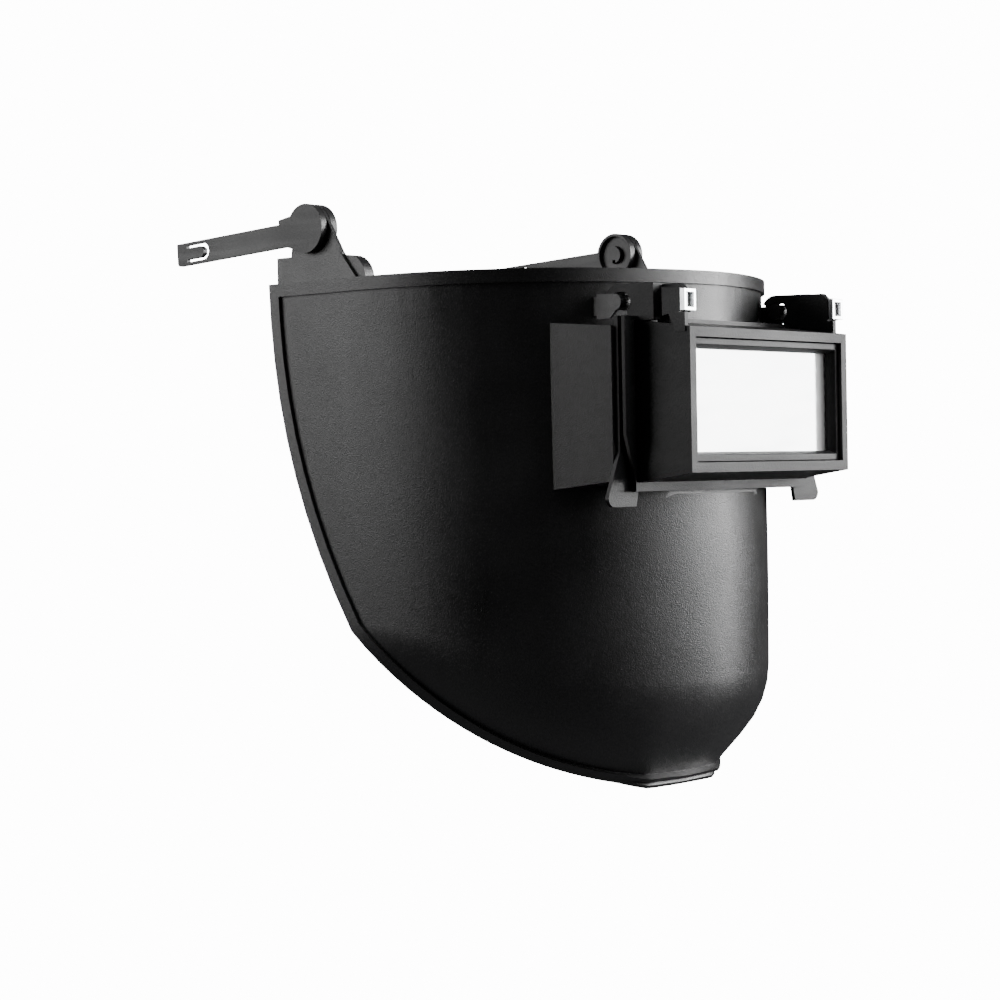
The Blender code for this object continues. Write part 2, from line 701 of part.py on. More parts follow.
def hook(sign):
    """Side profile of the hook that wraps the hinge pin, extruded to its width."""
    top = -HINGE_DEPTH + HOOK_RADIUS
    outer = arc(HINGE_FWD, -HINGE_DEPTH, HOOK_RADIUS, HOOK_TIP_TURN, HOOK_TOP_TURN, 6)
    inner_radius = PIN_RADIUS + HOOK_CLEAR
    inner = arc(HINGE_FWD + THROAT_OFFSET, -HINGE_DEPTH, inner_radius, THROAT_LOW_TURN, THROAT_HIGH_TURN, 8)
    inner += arc(HINGE_FWD, -HINGE_DEPTH, inner_radius, THROAT_TOP_TURN, HOOK_TIP_TURN, 4)
    outline = outer + [(HOOK_FRONT, top - HOOK_FALL), (HOOK_FRONT, -HOOK_BOTTOM),
                       (HINGE_FWD + HOOK_HEEL, -HOOK_BOTTOM)] + inner
    return side_prism("hook", outline, sign * HOOK_IN, sign * HOOK_OUT)


def hinge_web(sign):
    """Thin upright wall from the hook to the clip block, standing on top of the box."""
    ledge = -BLOCK_TOP - BLOCK_FALL
    foot = -BOX_TOP - OVERSHOOT
    front = BLOCK_FRONT - WEB_FOOT
    outline = [(HOOK_FRONT - WEB_LAP, -WEB_TOP), (BLOCK_FRONT - WEB_LEDGE - WEB_SLOPE, -WEB_TOP),
               (BLOCK_FRONT - WEB_LEDGE, ledge), (BLOCK_FRONT, ledge), (BLOCK_FRONT, -BLOCK_BOTTOM_FRONT),
               (front, -BLOCK_BOTTOM_REAR), (front, foot), (HOOK_FRONT - WEB_LAP, foot)]
    return side_prism("web", outline, sign * BLOCK_IN, sign * (BLOCK_IN + WEB_THICK + LAP))


def clip_block(sign):
    outline = [(BLOCK_REAR, -BLOCK_TOP), (BLOCK_FRONT, -BLOCK_TOP - BLOCK_FALL),
               (BLOCK_FRONT, -BLOCK_BOTTOM_FRONT), (BLOCK_REAR, -BLOCK_BOTTOM_REAR)]
    return side_prism("block", outline, sign * (BLOCK_IN + BLOCK_INSET), sign * BLOCK_OUT)


def clip_leg(sign):
    """Post under the front of a clip block, on the wearer's right of each block."""
    start = -BLOCK_OUT if sign < 0 else BLOCK_IN
    foot = -BOX_TOP - OVERSHOOT
    rear = TOWER_FRONT - LEG_REACH
    under = -CLIP_BOTTOM - GAP
    outline = [(rear, under + OVERSHOOT), (BLOCK_FRONT - GAP, under + OVERSHOOT),
               (BLOCK_FRONT - GAP, under - LAP), (TOWER_FRONT, under - LAP), (TOWER_FRONT, foot),
               (rear + LEG_SLOPE, foot), (rear, -BLOCK_BOTTOM_REAR)]
    return side_prism("leg", outline, start, start + LEG_THICK)


def tab_corner(sign):
    """Rounded outer corner of a finger tab in front view."""
    points = []
    for t in np.linspace(0, 90, 5):
        a = math.radians(t)
        points.append((TAB_OUTER - TAB_CORNER + TAB_CORNER * math.cos(a),
                       -TAB_BOTTOM + TAB_CORNER - TAB_CORNER * math.sin(a)))
    return [(sign * s, u) for s, u in points]


def rear_plate_outline():
    right = [(FLANGE_HALF, -FLANGE_TOP), (FLANGE_HALF, -TAB_FLARE_DEPTH)] + tab_corner(1)
    right += [(TAB_INNER, -TAB_BOTTOM), (TAB_INNER - TAB_SLOPE, -FLANGE_BOTTOM)]
    left = [(-s, u) for s, u in reversed(right)]
    return right + left


def flange_outline():
    right = [(FLANGE_HALF, -FLANGE_TOP), (FLANGE_HALF, -FLANGE_SKEW_DEPTH),
             (FLANGE_FOOT_HALF, -FLANGE_BOTTOM + FLANGE_FOOT), (FLANGE_FOOT_HALF, -FLANGE_BOTTOM)]
    left = [(-s, u) for s, u in reversed(right)]
    return right + left


def build_lift_front():
    plate_rear = HOUSING_FRONT + GAP
    plate_front = plate_rear + PLATE_THICK
    flange_rear = plate_front + GROOVE_WIDTH
    flange_front = flange_rear + FLANGE_THICK
    front = front_prism("lift_front", rear_plate_outline(), plate_rear, plate_front, "black")
    skirt = rectangle(FLANGE_FOOT_HALF, (FLANGE_BOTTOM - FLANGE_TOP) / 2 - GROOVE_DEPTH,
                      (FLANGE_BOTTOM + FLANGE_TOP) / 2)
    neck = front_prism("neck", skirt, plate_front - LAP, flange_rear + LAP)
    flange = front_prism("flange", flange_outline(), flange_rear, flange_front)
    rear_half, rear_top, rear_bottom = box_size(plate_front)
    front_half, front_top, front_bottom = box_size(BOX_FRONT)
    body = tapered_box("body", plate_front - LAP, rear_half, rear_top, rear_bottom,
                       BOX_FRONT, front_half, front_top, front_bottom)
    unite(front, neck, flange)
    notch_half = BLOCK_IN - NOTCH_MARGIN
    notch = box("notch", -notch_half, notch_half, plate_rear - OVERSHOOT, flange_rear - LAP / 2,
                -BOX_TOP - NOTCH_DROP, 0)
    for sign in (-1, 1):
        moat_in = box_size(flange_front)[0]
        moat = box("moat", sign * (moat_in - LAP), sign * (moat_in + MOAT_WIDTH),
                   flange_front - GROOVE_DEPTH, flange_front + OVERSHOOT,
                   -box_size(flange_front)[2], -box_size(flange_front)[1])
        cut(front, moat)
    unite(front, body)
    cut(front, notch)
    seat_front = BOX_FRONT - RECESS_DEPTH - BEZEL_THICK - FILTER_THICK - 3 * GAP
    seat_rear = seat_front - SEAT_THICK
    half, top, bottom = box_size(seat_rear)
    room = front_prism("room", rectangle(half - BOX_WALL, (bottom - top) / 2 - BOX_WALL, LENS_CENTRE),
                       plate_rear - OVERSHOOT, seat_rear)
    sight = front_prism("sight", rectangle(OPENING_WIDTH / 2, OPENING_HEIGHT / 2, LENS_CENTRE),
                        seat_rear - OVERSHOOT, seat_front + OVERSHOOT)
    recess = front_prism("recess", rectangle(BOX_WIDTH / 2 - BORDER, BOX_HEIGHT / 2 - BORDER, LENS_CENTRE),
                         seat_front, BOX_FRONT + OVERSHOOT)
    cut(front, room, sight, recess)
    for sign in (-1, 1):
        unite(front, hook(sign), hinge_web(sign), clip_block(sign), clip_leg(sign))
    return finish(front)


def build_filter_plate():
    front = BOX_FRONT - RECESS_DEPTH - BEZEL_THICK - GAP
    outline = rectangle(LENS_WIDTH / 2, LENS_HEIGHT / 2, LENS_CENTRE)
    return front_prism("filter_plate", outline, front - FILTER_THICK, front, "lens")


def build_window_bezel():
    """Frame that holds the filter plate, with a chamfer down to its opening."""
    front = BOX_FRONT - RECESS_DEPTH
    rear = front - BEZEL_THICK
    outer_half = BOX_WIDTH / 2 - BORDER - GAP
    outer_up = BOX_HEIGHT / 2 - BORDER - GAP
    open_half = OPENING_WIDTH / 2
    open_up = OPENING_HEIGHT / 2

    def ring(fwd, half, height):
        return [place(s, fwd, u) for s, u in rectangle(half, height, LENS_CENTRE)]
    rings = [ring(rear, outer_half, outer_up), ring(front, outer_half, outer_up),
             ring(front, open_half + BEZEL_CHAMFER, open_up + BEZEL_CHAMFER),
             ring(front - 2 * BEZEL_CHAMFER, open_half, open_up), ring(rear, open_half, open_up)]
    return finish(loft("window_bezel", rings, "black"))


def build_clip(sign):
    """Small metal clip on the front of a clip block, a square tray open to the front."""
    word = "left" if sign > 0 else "right"
    rear = BLOCK_FRONT + GAP
    clip = box("lens_clip_" + word, sign * BLOCK_IN, sign * BLOCK_OUT, rear, TOWER_FRONT,
               -CLIP_BOTTOM, -CLIP_TOP, "steel")
    tray = box("tray", sign * (BLOCK_IN + CLIP_MARGIN), sign * (BLOCK_OUT - CLIP_MARGIN),
               TOWER_FRONT - CLIP_RECESS, TOWER_FRONT + OVERSHOOT,
               -(CLIP_BOTTOM - CLIP_MARGIN), -(CLIP_TOP + CLIP_MARGIN))
    return finish(cut(clip, tray))


def tilt_about_pivot(reach, height):
    """Profile point of the arm, at a reach behind the pivot and a height above the blade's middle."""
    c, s = math.cos(BLADE_TILT), math.sin(BLADE_TILT)
    back = -reach
    lift = height - BLADE_DROP
    return PIVOT_FWD + back * c - lift * s, PIVOT_UP + back * s + lift * c


def blade_profile(points):
    return [tilt_about_pivot(reach, height) for reach, height in points]


def round_end(reach, radius):
    """Half circle towards the pivot, from +radius to -radius in height."""
    turns = np.radians(np.linspace(0, 180, ROUND_STEPS // 2 + 1))
    return [(reach - abs(radius) * math.sin(a), radius * math.cos(a)) for a in turns]


def build_arm(sign):
    """Arm with a flat blade for the hat's side slot and a round head with a post through the ear."""
    word = "left" if sign > 0 else "right"
    inner = ARM_OUT - BLADE_THICK
    half = BLADE_HEIGHT / 2
    r = BLADE_CORNER
    corners = [(BLADE_REACH - r + r * math.sin(a), -half + r - r * math.cos(a))
               for a in np.radians(np.linspace(0, 90, 4))]
    blade_points = corners + [(BLADE_REACH, half - BLADE_CHAMFER), (BLADE_REACH - BLADE_CHAMFER, half),
                              (SHOULDER_REACH, half), (SHOULDER_REACH, half + SHOULDER_RISE),
                              (NECK_REACH, half + SHOULDER_RISE + NECK_RISE),
                              (NECK_REACH, -half - NECK_FALL), (SHOULDER_REACH - NECK_REACH, -half)]
    blade = side_prism("arm_" + word, blade_profile(blade_points), sign * inner, sign * ARM_OUT, "black")
    head = side_prism("head", circle(PIVOT_FWD, PIVOT_UP, HEAD_RADIUS),
                      sign * (ARM_OUT - HEAD_THICK), sign * ARM_OUT)
    post_end = EAR_OUT - EAR_THICK - GAP - CUP_THICK
    post = side_prism("post", circle(PIVOT_FWD, PIVOT_UP, POST_RADIUS, 24),
                      sign * post_end, sign * (ARM_OUT - HEAD_THICK / 2))
    unite(blade, head, post)
    outer_r = TONGUE_WIDTH / 2 + TONGUE_SLOT
    inner_r = TONGUE_WIDTH / 2
    leg_start = BLADE_REACH - TONGUE_END_MARGIN
    bend = leg_start - TONGUE_LENGTH + outer_r
    slot = [(leg_start, outer_r)]
    slot += round_end(bend, outer_r)
    slot += [(leg_start, -outer_r), (leg_start, -inner_r)]
    tongue_bend = bend - outer_r + TONGUE_TIP_GAP + inner_r
    slot += round_end(tongue_bend, -inner_r)
    slot += [(leg_start, inner_r)]
    slot_out = sign * (ARM_OUT + OVERSHOOT)
    cut(blade, side_prism("slot", blade_profile(slot), sign * (inner - OVERSHOOT), slot_out))
    tip = tongue_bend - inner_r + CATCH_SETBACK
    catch = [(tip, -CATCH_HALF), (tip + CATCH_LENGTH, -CATCH_HALF),
             (tip + CATCH_LENGTH, CATCH_HALF), (tip, CATCH_HALF)]
    catch_in = sign * (inner - CATCH_RISE)
    unite(blade, side_prism("catch", blade_profile(catch), catch_in, sign * (inner + LAP)))
    key_top = PIVOT_UP - POST_RADIUS + KEY_DEPTH
    key = box("key", sign * (post_end - OVERSHOOT), sign * (post_end + CUP_THICK - CUP_FLOOR),
              PIVOT_FWD - KEY_WIDTH / 2, PIVOT_FWD + KEY_WIDTH / 2,
              PIVOT_UP - POST_RADIUS - OVERSHOOT, key_top)
    return finish(cut(blade, key))


def build_cup(sign):
    """Cup on the inner end of the post, open towards the head."""
    word = "left" if sign > 0 else "right"
    outer = EAR_OUT - EAR_THICK - GAP
    cup = side_prism("pivot_cup_" + word, circle(PIVOT_FWD, PIVOT_UP, HEAD_RADIUS),
                     sign * (outer - CUP_THICK), sign * outer, "black")
    hollow = side_prism("hollow", circle(PIVOT_FWD, PIVOT_UP, HEAD_RADIUS - CUP_WALL),
                        sign * (outer - CUP_THICK - OVERSHOOT), sign * (outer - CUP_FLOOR))
    bore = side_prism("bore", circle(PIVOT_FWD, PIVOT_UP, POST_RADIUS + GAP, 24),
                      sign * (outer - CUP_THICK - OVERSHOOT), sign * (outer + OVERSHOOT))
    return finish(cut(cup, hollow, bore))


def build():
    clear_scene()
    build_shell()
    build_safety_plate()
    lifted = [build_lift_front(), build_filter_plate(), build_window_bezel()]
    for sign in (-1, 1):
        lifted.append(build_clip(sign))
        hang(build_arm(sign), PIVOT_FWD, PIVOT_UP)
        hang(build_cup(sign), PIVOT_FWD, PIVOT_UP)
    for piece in lifted:
        hang(piece, HINGE_FWD, -HINGE_DEPTH)


build()
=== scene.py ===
import json
import math

import bpy
from mathutils import Matrix, Vector

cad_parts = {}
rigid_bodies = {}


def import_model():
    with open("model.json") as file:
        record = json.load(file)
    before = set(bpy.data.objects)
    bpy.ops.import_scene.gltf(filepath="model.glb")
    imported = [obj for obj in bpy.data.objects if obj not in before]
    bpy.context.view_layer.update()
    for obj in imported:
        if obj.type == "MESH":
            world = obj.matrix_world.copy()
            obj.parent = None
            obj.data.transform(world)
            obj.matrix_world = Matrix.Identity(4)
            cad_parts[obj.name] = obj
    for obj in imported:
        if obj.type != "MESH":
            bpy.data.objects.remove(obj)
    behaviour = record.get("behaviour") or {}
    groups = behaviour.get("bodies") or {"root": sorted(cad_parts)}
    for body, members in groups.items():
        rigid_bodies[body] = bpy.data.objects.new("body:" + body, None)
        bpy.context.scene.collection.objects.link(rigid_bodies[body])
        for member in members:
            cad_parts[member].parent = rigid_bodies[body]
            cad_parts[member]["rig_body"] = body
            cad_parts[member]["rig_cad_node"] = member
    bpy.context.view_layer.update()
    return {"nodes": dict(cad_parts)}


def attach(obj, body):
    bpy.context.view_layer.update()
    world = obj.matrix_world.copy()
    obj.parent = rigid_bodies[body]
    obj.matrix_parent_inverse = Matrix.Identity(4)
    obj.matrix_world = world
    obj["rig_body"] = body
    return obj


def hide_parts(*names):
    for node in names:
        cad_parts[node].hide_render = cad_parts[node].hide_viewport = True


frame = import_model()


# Camera
# A short telephoto level with the middle of the shield, to the right of the wearer's face, so that
# the right side of the shell and the lens front both show.
CAMERA_PLACE = Vector((-0.87267, -0.78620, -0.11015))
CAMERA_RIGHT = Vector((0.66342, -0.74802, -0.01837))
CAMERA_UP = Vector((0.02100, -0.00592, 0.99976))
CAMERA_BACK = Vector((-0.74795, -0.66365, 0.01178))
CAMERA_LENS = 87.58
SENSOR_WIDTH = 36

camera_data = bpy.data.cameras.new("camera")
camera_data.lens = CAMERA_LENS
camera_data.sensor_width = SENSOR_WIDTH
camera = bpy.data.objects.new("camera", camera_data)
bpy.context.scene.collection.objects.link(camera)
turn = Matrix((CAMERA_RIGHT, CAMERA_UP, CAMERA_BACK)).transposed().to_4x4()
camera.matrix_world = Matrix.Translation(CAMERA_PLACE) @ turn
bpy.context.scene.camera = camera


# Studio
# A white paper sweep stands well below and behind the shield. It looks evenly white, and throws only
# a little light back, so that the undersides of the shield stay nearly black.
FLOOR_DEPTH = 0.75
FLOOR_SIZE = 9.0
SWEEP_RADIUS = 1.5
SWEEP_RISE = 4.0
SWEEP_STEPS = 24
REAR_REACH = 0.01
PAPER_WHITE = (1.0, 1.0, 1.0, 1)
PAPER_SHADE = (0.08, 0.08, 0.083, 1)
PAPER_FIBRE_SCALE = 90.0
PAPER_ROUGH = (0.85, 0.98)
PAPER_BRIGHTNESS = 14.0
AIR_GLOW = 0.02

bpy.ops.object.select_all(action="DESELECT")
bpy.ops.mesh.primitive_plane_add(size=FLOOR_SIZE, location=(0, 0, 0))
sweep = bpy.context.active_object
sweep.name = "studio_sweep"
bpy.ops.object.mode_set(mode="EDIT")
bpy.ops.mesh.select_mode(type="EDGE")
bpy.ops.mesh.select_all(action="DESELECT")
bpy.ops.object.mode_set(mode="OBJECT")
for edge in sweep.data.edges:
    ends = [sweep.data.vertices[i].co for i in edge.vertices]
    edge.select = all(end.y > FLOOR_SIZE / 2 - REAR_REACH for end in ends)
bpy.ops.object.mode_set(mode="EDIT")
sweep_axis = (0, FLOOR_SIZE / 2, SWEEP_RADIUS)
bpy.ops.mesh.spin(steps=SWEEP_STEPS, angle=-math.pi / 2, center=sweep_axis, axis=(1, 0, 0))
bpy.ops.mesh.extrude_region_move(TRANSFORM_OT_translate={"value": (0, 0, SWEEP_RISE)})
bpy.ops.object.mode_set(mode="OBJECT")
bpy.ops.object.shade_smooth()
sweep.rotation_euler.z = math.atan2(-CAMERA_BACK.y, -CAMERA_BACK.x) - math.pi / 2
sweep.location.z = -FLOOR_DEPTH

paper = bpy.data.materials.new("white_paper")
paper.use_nodes = True
paper_nodes = paper.node_tree.nodes
paper_links = paper.node_tree.links
paper_shader = paper_nodes["Principled BSDF"]
paper_shader.inputs["Base Color"].default_value = PAPER_SHADE
fibre = paper_nodes.new("ShaderNodeTexNoise")
fibre.inputs["Scale"].default_value = PAPER_FIBRE_SCALE
fibre_rough = paper_nodes.new("ShaderNodeMapRange")
fibre_rough.inputs["To Min"].default_value = PAPER_ROUGH[0]
fibre_rough.inputs["To Max"].default_value = PAPER_ROUGH[1]
paper_links.new(fibre.outputs["Fac"], fibre_rough.inputs["Value"])
paper_links.new(fibre_rough.outputs["Result"], paper_shader.inputs["Roughness"])
seen_white = paper_nodes.new("ShaderNodeEmission")
seen_white.inputs["Color"].default_value = PAPER_WHITE
seen_white.inputs["Strength"].default_value = PAPER_BRIGHTNESS
paper_path = paper_nodes.new("ShaderNodeLightPath")
paper_mix = paper_nodes.new("ShaderNodeMixShader")
paper_links.new(paper_path.outputs["Is Camera Ray"], paper_mix.inputs[0])
paper_links.new(paper_shader.outputs["BSDF"], paper_mix.inputs[1])
paper_links.new(seen_white.outputs["Emission"], paper_mix.inputs[2])
paper_links.new(paper_mix.outputs["Shader"], paper_nodes["Material Output"].inputs["Surface"])
sweep.data.materials.append(paper)

air = bpy.data.worlds.new("studio_air")
air.use_nodes = True
air_nodes = air.node_tree.nodes
air_links = air.node_tree.links
dim_air = air_nodes["Background"]
dim_air.inputs["Color"].default_value = PAPER_WHITE
dim_air.inputs["Strength"].default_value = AIR_GLOW
white_air = air_nodes.new("ShaderNodeBackground")
white_air.inputs["Color"].default_value = PAPER_WHITE
white_air.inputs["Strength"].default_value = PAPER_BRIGHTNESS
air_path = air_nodes.new("ShaderNodeLightPath")
air_mix = air_nodes.new("ShaderNodeMixShader")
air_links.new(air_path.outputs["Is Camera Ray"], air_mix.inputs[0])
air_links.new(dim_air.outputs["Background"], air_mix.inputs[1])
air_links.new(white_air.outputs["Background"], air_mix.inputs[2])
air_links.new(air_mix.outputs["Shader"], air_nodes["World Output"].inputs["Surface"])
bpy.context.scene.world = air


# Studio lights
# A tall soft box in front of the shield's left side draws the streak down the nose. A second one
# grazes the right side from behind. Three weak ones lift the top edges, the tabs and the inside.
LIGHT_AIM = Vector((0.0, -0.06, -0.10))


def soft_box(name, heading, height, distance, width, tall, power):
    """Rectangular light at a compass heading in degrees round the shield, aimed at its middle."""
    lamp_data = bpy.data.lights.new(name, "AREA")
    lamp_data.shape = "RECTANGLE"
    lamp_data.size = width
    lamp_data.size_y = tall
    lamp_data.energy = power
    lamp = bpy.data.objects.new(name, lamp_data)
    bpy.context.scene.collection.objects.link(lamp)
    angle = math.radians(heading)
    place = Vector((math.cos(angle) * distance, math.sin(angle) * distance, height))
    lamp.location = LIGHT_AIM + place
    lamp.rotation_mode = "QUATERNION"
    lamp.rotation_quaternion = (-place).to_track_quat("-Z", "Y")


soft_box("front_box", heading=317, height=0.38, distance=1.5, width=0.65, tall=0.95, power=41)
soft_box("side_box", heading=138, height=0.50, distance=1.7, width=1.15, tall=1.15, power=14)
soft_box("top_box", heading=260, height=1.9, distance=0.6, width=1.4, tall=1.4, power=13)
soft_box("fill_box", heading=286, height=0.30, distance=1.6, width=0.5, tall=0.9, power=6)
soft_box("rear_box", heading=62, height=1.10, distance=1.5, width=0.9, tall=0.9, power=7)


# Face shell
# The curved shell with the fixed lens housing, the ears and the two hinge pins, injection moulded in
# one piece in black nylon. The mould leaves a fine even grain on its skin.
SHELL_DARK = (0.007, 0.007, 0.0075, 1)
SHELL_LIGHT = (0.015, 0.015, 0.016, 1)
SHELL_GRAIN = 2000
SHELL_RELIEF = 0.8
SHELL_SHEEN = 0.76
SHELL_ROUGH = (0.31, 0.43)
SHELL_STRETCH = (60, 60, 9)
SHELL_RUB = 0.05
SHELL_EDGE = 0.0004
SHELL_FLATNESS = 0.05
PLASTIC_IOR = 1.53
PLASTIC_SHADES = (0.35, 0.95)
GRAIN_DEPTH = 0.0002
GRAIN_DETAIL = 2.0
GRAIN_SHARPNESS = 0.55
GRAIN_SHARE = 0.35
CLOUD_SCALE = 22.0
CLOUD_DETAIL = 3.0
CLOUD_RANGE = (0.4, 0.95)
STREAK_DETAIL = 4.0
STREAK_RANGE = (0.45, 0.75)
MERGE_REACH = 0.00001
SHARP_TURN = 35.0
SMOOTH_TURN = 32.0
ROUNDING_STEPS = 2
FLATNESS = 0.6
SIDES = ("right", "left")


def grain_group():
    """Moulded grain: its height, the roughness that wanders over the piece, and a tint value."""
    group = bpy.data.node_groups.new("moulded_grain", "ShaderNodeTree")
    face = group.interface
    face.new_socket("Grain Size", in_out="INPUT", socket_type="NodeSocketFloat")
    face.new_socket("Rough Low", in_out="INPUT", socket_type="NodeSocketFloat")
    face.new_socket("Rough High", in_out="INPUT", socket_type="NodeSocketFloat")
    face.new_socket("Height", in_out="OUTPUT", socket_type="NodeSocketFloat")
    face.new_socket("Roughness", in_out="OUTPUT", socket_type="NodeSocketFloat")
    face.new_socket("Tint", in_out="OUTPUT", socket_type="NodeSocketFloat")
    nodes = group.nodes
    links = group.links
    entry = nodes.new("NodeGroupInput")
    leave = nodes.new("NodeGroupOutput")
    coords = nodes.new("ShaderNodeTexCoord")
    grain = nodes.new("ShaderNodeTexNoise")
    grain.inputs["Detail"].default_value = GRAIN_DETAIL
    grain.inputs["Roughness"].default_value = GRAIN_SHARPNESS
    links.new(coords.outputs["Object"], grain.inputs["Vector"])
    links.new(entry.outputs["Grain Size"], grain.inputs["Scale"])
    cloud = nodes.new("ShaderNodeTexNoise")
    cloud.inputs["Scale"].default_value = CLOUD_SCALE
    cloud.inputs["Detail"].default_value = CLOUD_DETAIL
    links.new(coords.outputs["Object"], cloud.inputs["Vector"])
    mixed = nodes.new("ShaderNodeMath")
    mixed.operation = "MULTIPLY_ADD"
    mixed.inputs[1].default_value = GRAIN_SHARE
    links.new(grain.outputs["Fac"], mixed.inputs[0])
    links.new(cloud.outputs["Fac"], mixed.inputs[2])
    rough = nodes.new("ShaderNodeMapRange")
    rough.inputs["From Min"].default_value = CLOUD_RANGE[0]
    rough.inputs["From Max"].default_value = CLOUD_RANGE[1]
    links.new(mixed.outputs[0], rough.inputs["Value"])
    links.new(entry.outputs["Rough Low"], rough.inputs["To Min"])
    links.new(entry.outputs["Rough High"], rough.inputs["To Max"])
    links.new(grain.outputs["Fac"], leave.inputs["Height"])
    links.new(rough.outputs["Result"], leave.inputs["Roughness"])
    links.new(mixed.outputs[0], leave.inputs["Tint"])
    return group


def marks_group():
    """Faint streaks drawn out along one axis by handling or rolling, as a mask from 0 to 1."""
    group = bpy.data.node_groups.new("rubbing_marks", "ShaderNodeTree")
    face = group.interface
    face.new_socket("Stretch", in_out="INPUT", socket_type="NodeSocketVector")
    face.new_socket("Mask", in_out="OUTPUT", socket_type="NodeSocketFloat")
    nodes = group.nodes
    links = group.links
    entry = nodes.new("NodeGroupInput")
    leave = nodes.new("NodeGroupOutput")
    coords = nodes.new("ShaderNodeTexCoord")
    drawn = nodes.new("ShaderNodeVectorMath")
    drawn.operation = "MULTIPLY"
    links.new(coords.outputs["Object"], drawn.inputs[0])
    links.new(entry.outputs["Stretch"], drawn.inputs[1])
    streaks = nodes.new("ShaderNodeTexNoise")
    streaks.inputs["Scale"].default_value = 1.0
    streaks.inputs["Detail"].default_value = STREAK_DETAIL
    links.new(drawn.outputs["Vector"], streaks.inputs["Vector"])
    mask = nodes.new("ShaderNodeMapRange")
    mask.inputs["From Min"].default_value = STREAK_RANGE[0]
    mask.inputs["From Max"].default_value = STREAK_RANGE[1]
    links.new(streaks.outputs["Fac"], mask.inputs["Value"])
    links.new(mask.outputs["Result"], leave.inputs["Mask"])
    return group


moulded_grain = grain_group()
rubbing_marks = marks_group()


def black_plastic(name, dark, light, grain_size, relief, rough, sheen, stretch, rub):
    """Moulded black plastic, rubbed a little smoother along the streaks of the stretch."""
    mat = bpy.data.materials.new(name)
    mat.use_nodes = True
    nodes = mat.node_tree.nodes
    links = mat.node_tree.links
    shader = nodes["Principled BSDF"]
    shader.inputs["IOR"].default_value = PLASTIC_IOR
    shader.inputs["Specular IOR Level"].default_value = sheen
    skin = nodes.new("ShaderNodeGroup")
    skin.node_tree = moulded_grain
    skin.inputs["Grain Size"].default_value = grain_size
    skin.inputs["Rough Low"].default_value = rough[0]
    skin.inputs["Rough High"].default_value = rough[1]
    marks = nodes.new("ShaderNodeGroup")
    marks.node_tree = rubbing_marks
    marks.inputs["Stretch"].default_value = stretch
    rubbed = nodes.new("ShaderNodeMath")
    rubbed.operation = "MULTIPLY_ADD"
    rubbed.inputs[1].default_value = -rub
    ramp = nodes.new("ShaderNodeValToRGB")
    ramp.color_ramp.elements[0].position = PLASTIC_SHADES[0]
    ramp.color_ramp.elements[0].color = dark
    ramp.color_ramp.elements[1].position = PLASTIC_SHADES[1]
    ramp.color_ramp.elements[1].color = light
    bump = nodes.new("ShaderNodeBump")
    bump.inputs["Strength"].default_value = relief
    bump.inputs["Distance"].default_value = GRAIN_DEPTH
    links.new(skin.outputs["Tint"], ramp.inputs["Fac"])
    links.new(ramp.outputs["Color"], shader.inputs["Base Color"])
    links.new(marks.outputs["Mask"], rubbed.inputs[0])
    links.new(skin.outputs["Roughness"], rubbed.inputs[2])
    links.new(rubbed.outputs[0], shader.inputs["Roughness"])
    links.new(skin.outputs["Height"], bump.inputs["Height"])
    links.new(bump.outputs["Normal"], shader.inputs["Normal"])
    return mat


def softened(node, name, body, finish, edge_radius, flatness):
    """Finished piece in the shape of a solid, rounded as far as its shortest edges allow."""
    source = frame["nodes"][node]
    bpy.ops.object.select_all(action="DESELECT")
    piece = source.copy()
    piece.data = source.data.copy()
    piece.name = name
    piece.data.name = name
    piece.parent = None
    del piece["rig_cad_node"]
    del piece["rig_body"]
    bpy.context.scene.collection.objects.link(piece)
    bpy.context.view_layer.objects.active = piece
    piece.select_set(True)
    bpy.ops.object.mode_set(mode="EDIT")
    bpy.ops.mesh.select_all(action="SELECT")
    bpy.ops.mesh.remove_doubles(threshold=MERGE_REACH)
    bpy.ops.mesh.dissolve_limited(angle_limit=math.radians(flatness))
    bpy.ops.object.mode_set(mode="OBJECT")
    piece.data.materials.clear()
    piece.data.materials.append(finish)
    rounding = piece.modifiers.new("edge_radius", "BEVEL")
    rounding.width = edge_radius
    rounding.segments = ROUNDING_STEPS
    rounding.limit_method = "ANGLE"
    rounding.angle_limit = math.radians(SHARP_TURN)
    bpy.ops.object.modifier_apply(modifier=rounding.name)
    bpy.ops.object.shade_smooth_by_angle(angle=math.radians(SMOOTH_TURN))
    evened = piece.modifiers.new("even_shading", "WEIGHTED_NORMAL")
    evened.keep_sharp = True
    bpy.ops.object.modifier_apply(modifier=evened.name)
    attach(piece, body)
    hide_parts(node)


shell_black = black_plastic("shell_black", SHELL_DARK, SHELL_LIGHT, SHELL_GRAIN, SHELL_RELIEF,
                            SHELL_ROUGH, SHELL_SHEEN, SHELL_STRETCH, SHELL_RUB)
softened("face_shell", "moulded_shell", "shield", shell_black, SHELL_EDGE,
         SHELL_FLATNESS)


# Safety plate
# The clear plate fixed across the rear of the housing, cut from hard-coated polycarbonate sheet.
# It sits in the step of the housing wall and stays in front of the eyes when the front is lifted.
CLEAR_TINT = (0.93, 0.95, 0.95, 1)
CLEAR_ROUGH = (0.03, 0.12)
CLEAR_METAL = 0.0
CLEARNESS = 0.9
CLEAR_IOR = 1.58
WIPE_STRETCH = (30, 30, 160)
WIPE_TINT = (0.96, 0.97, 0.98)
WIPE_RELIEF = 0.03
WIPE_DEPTH = 0.0001
PLATE_EDGE = 0.0002


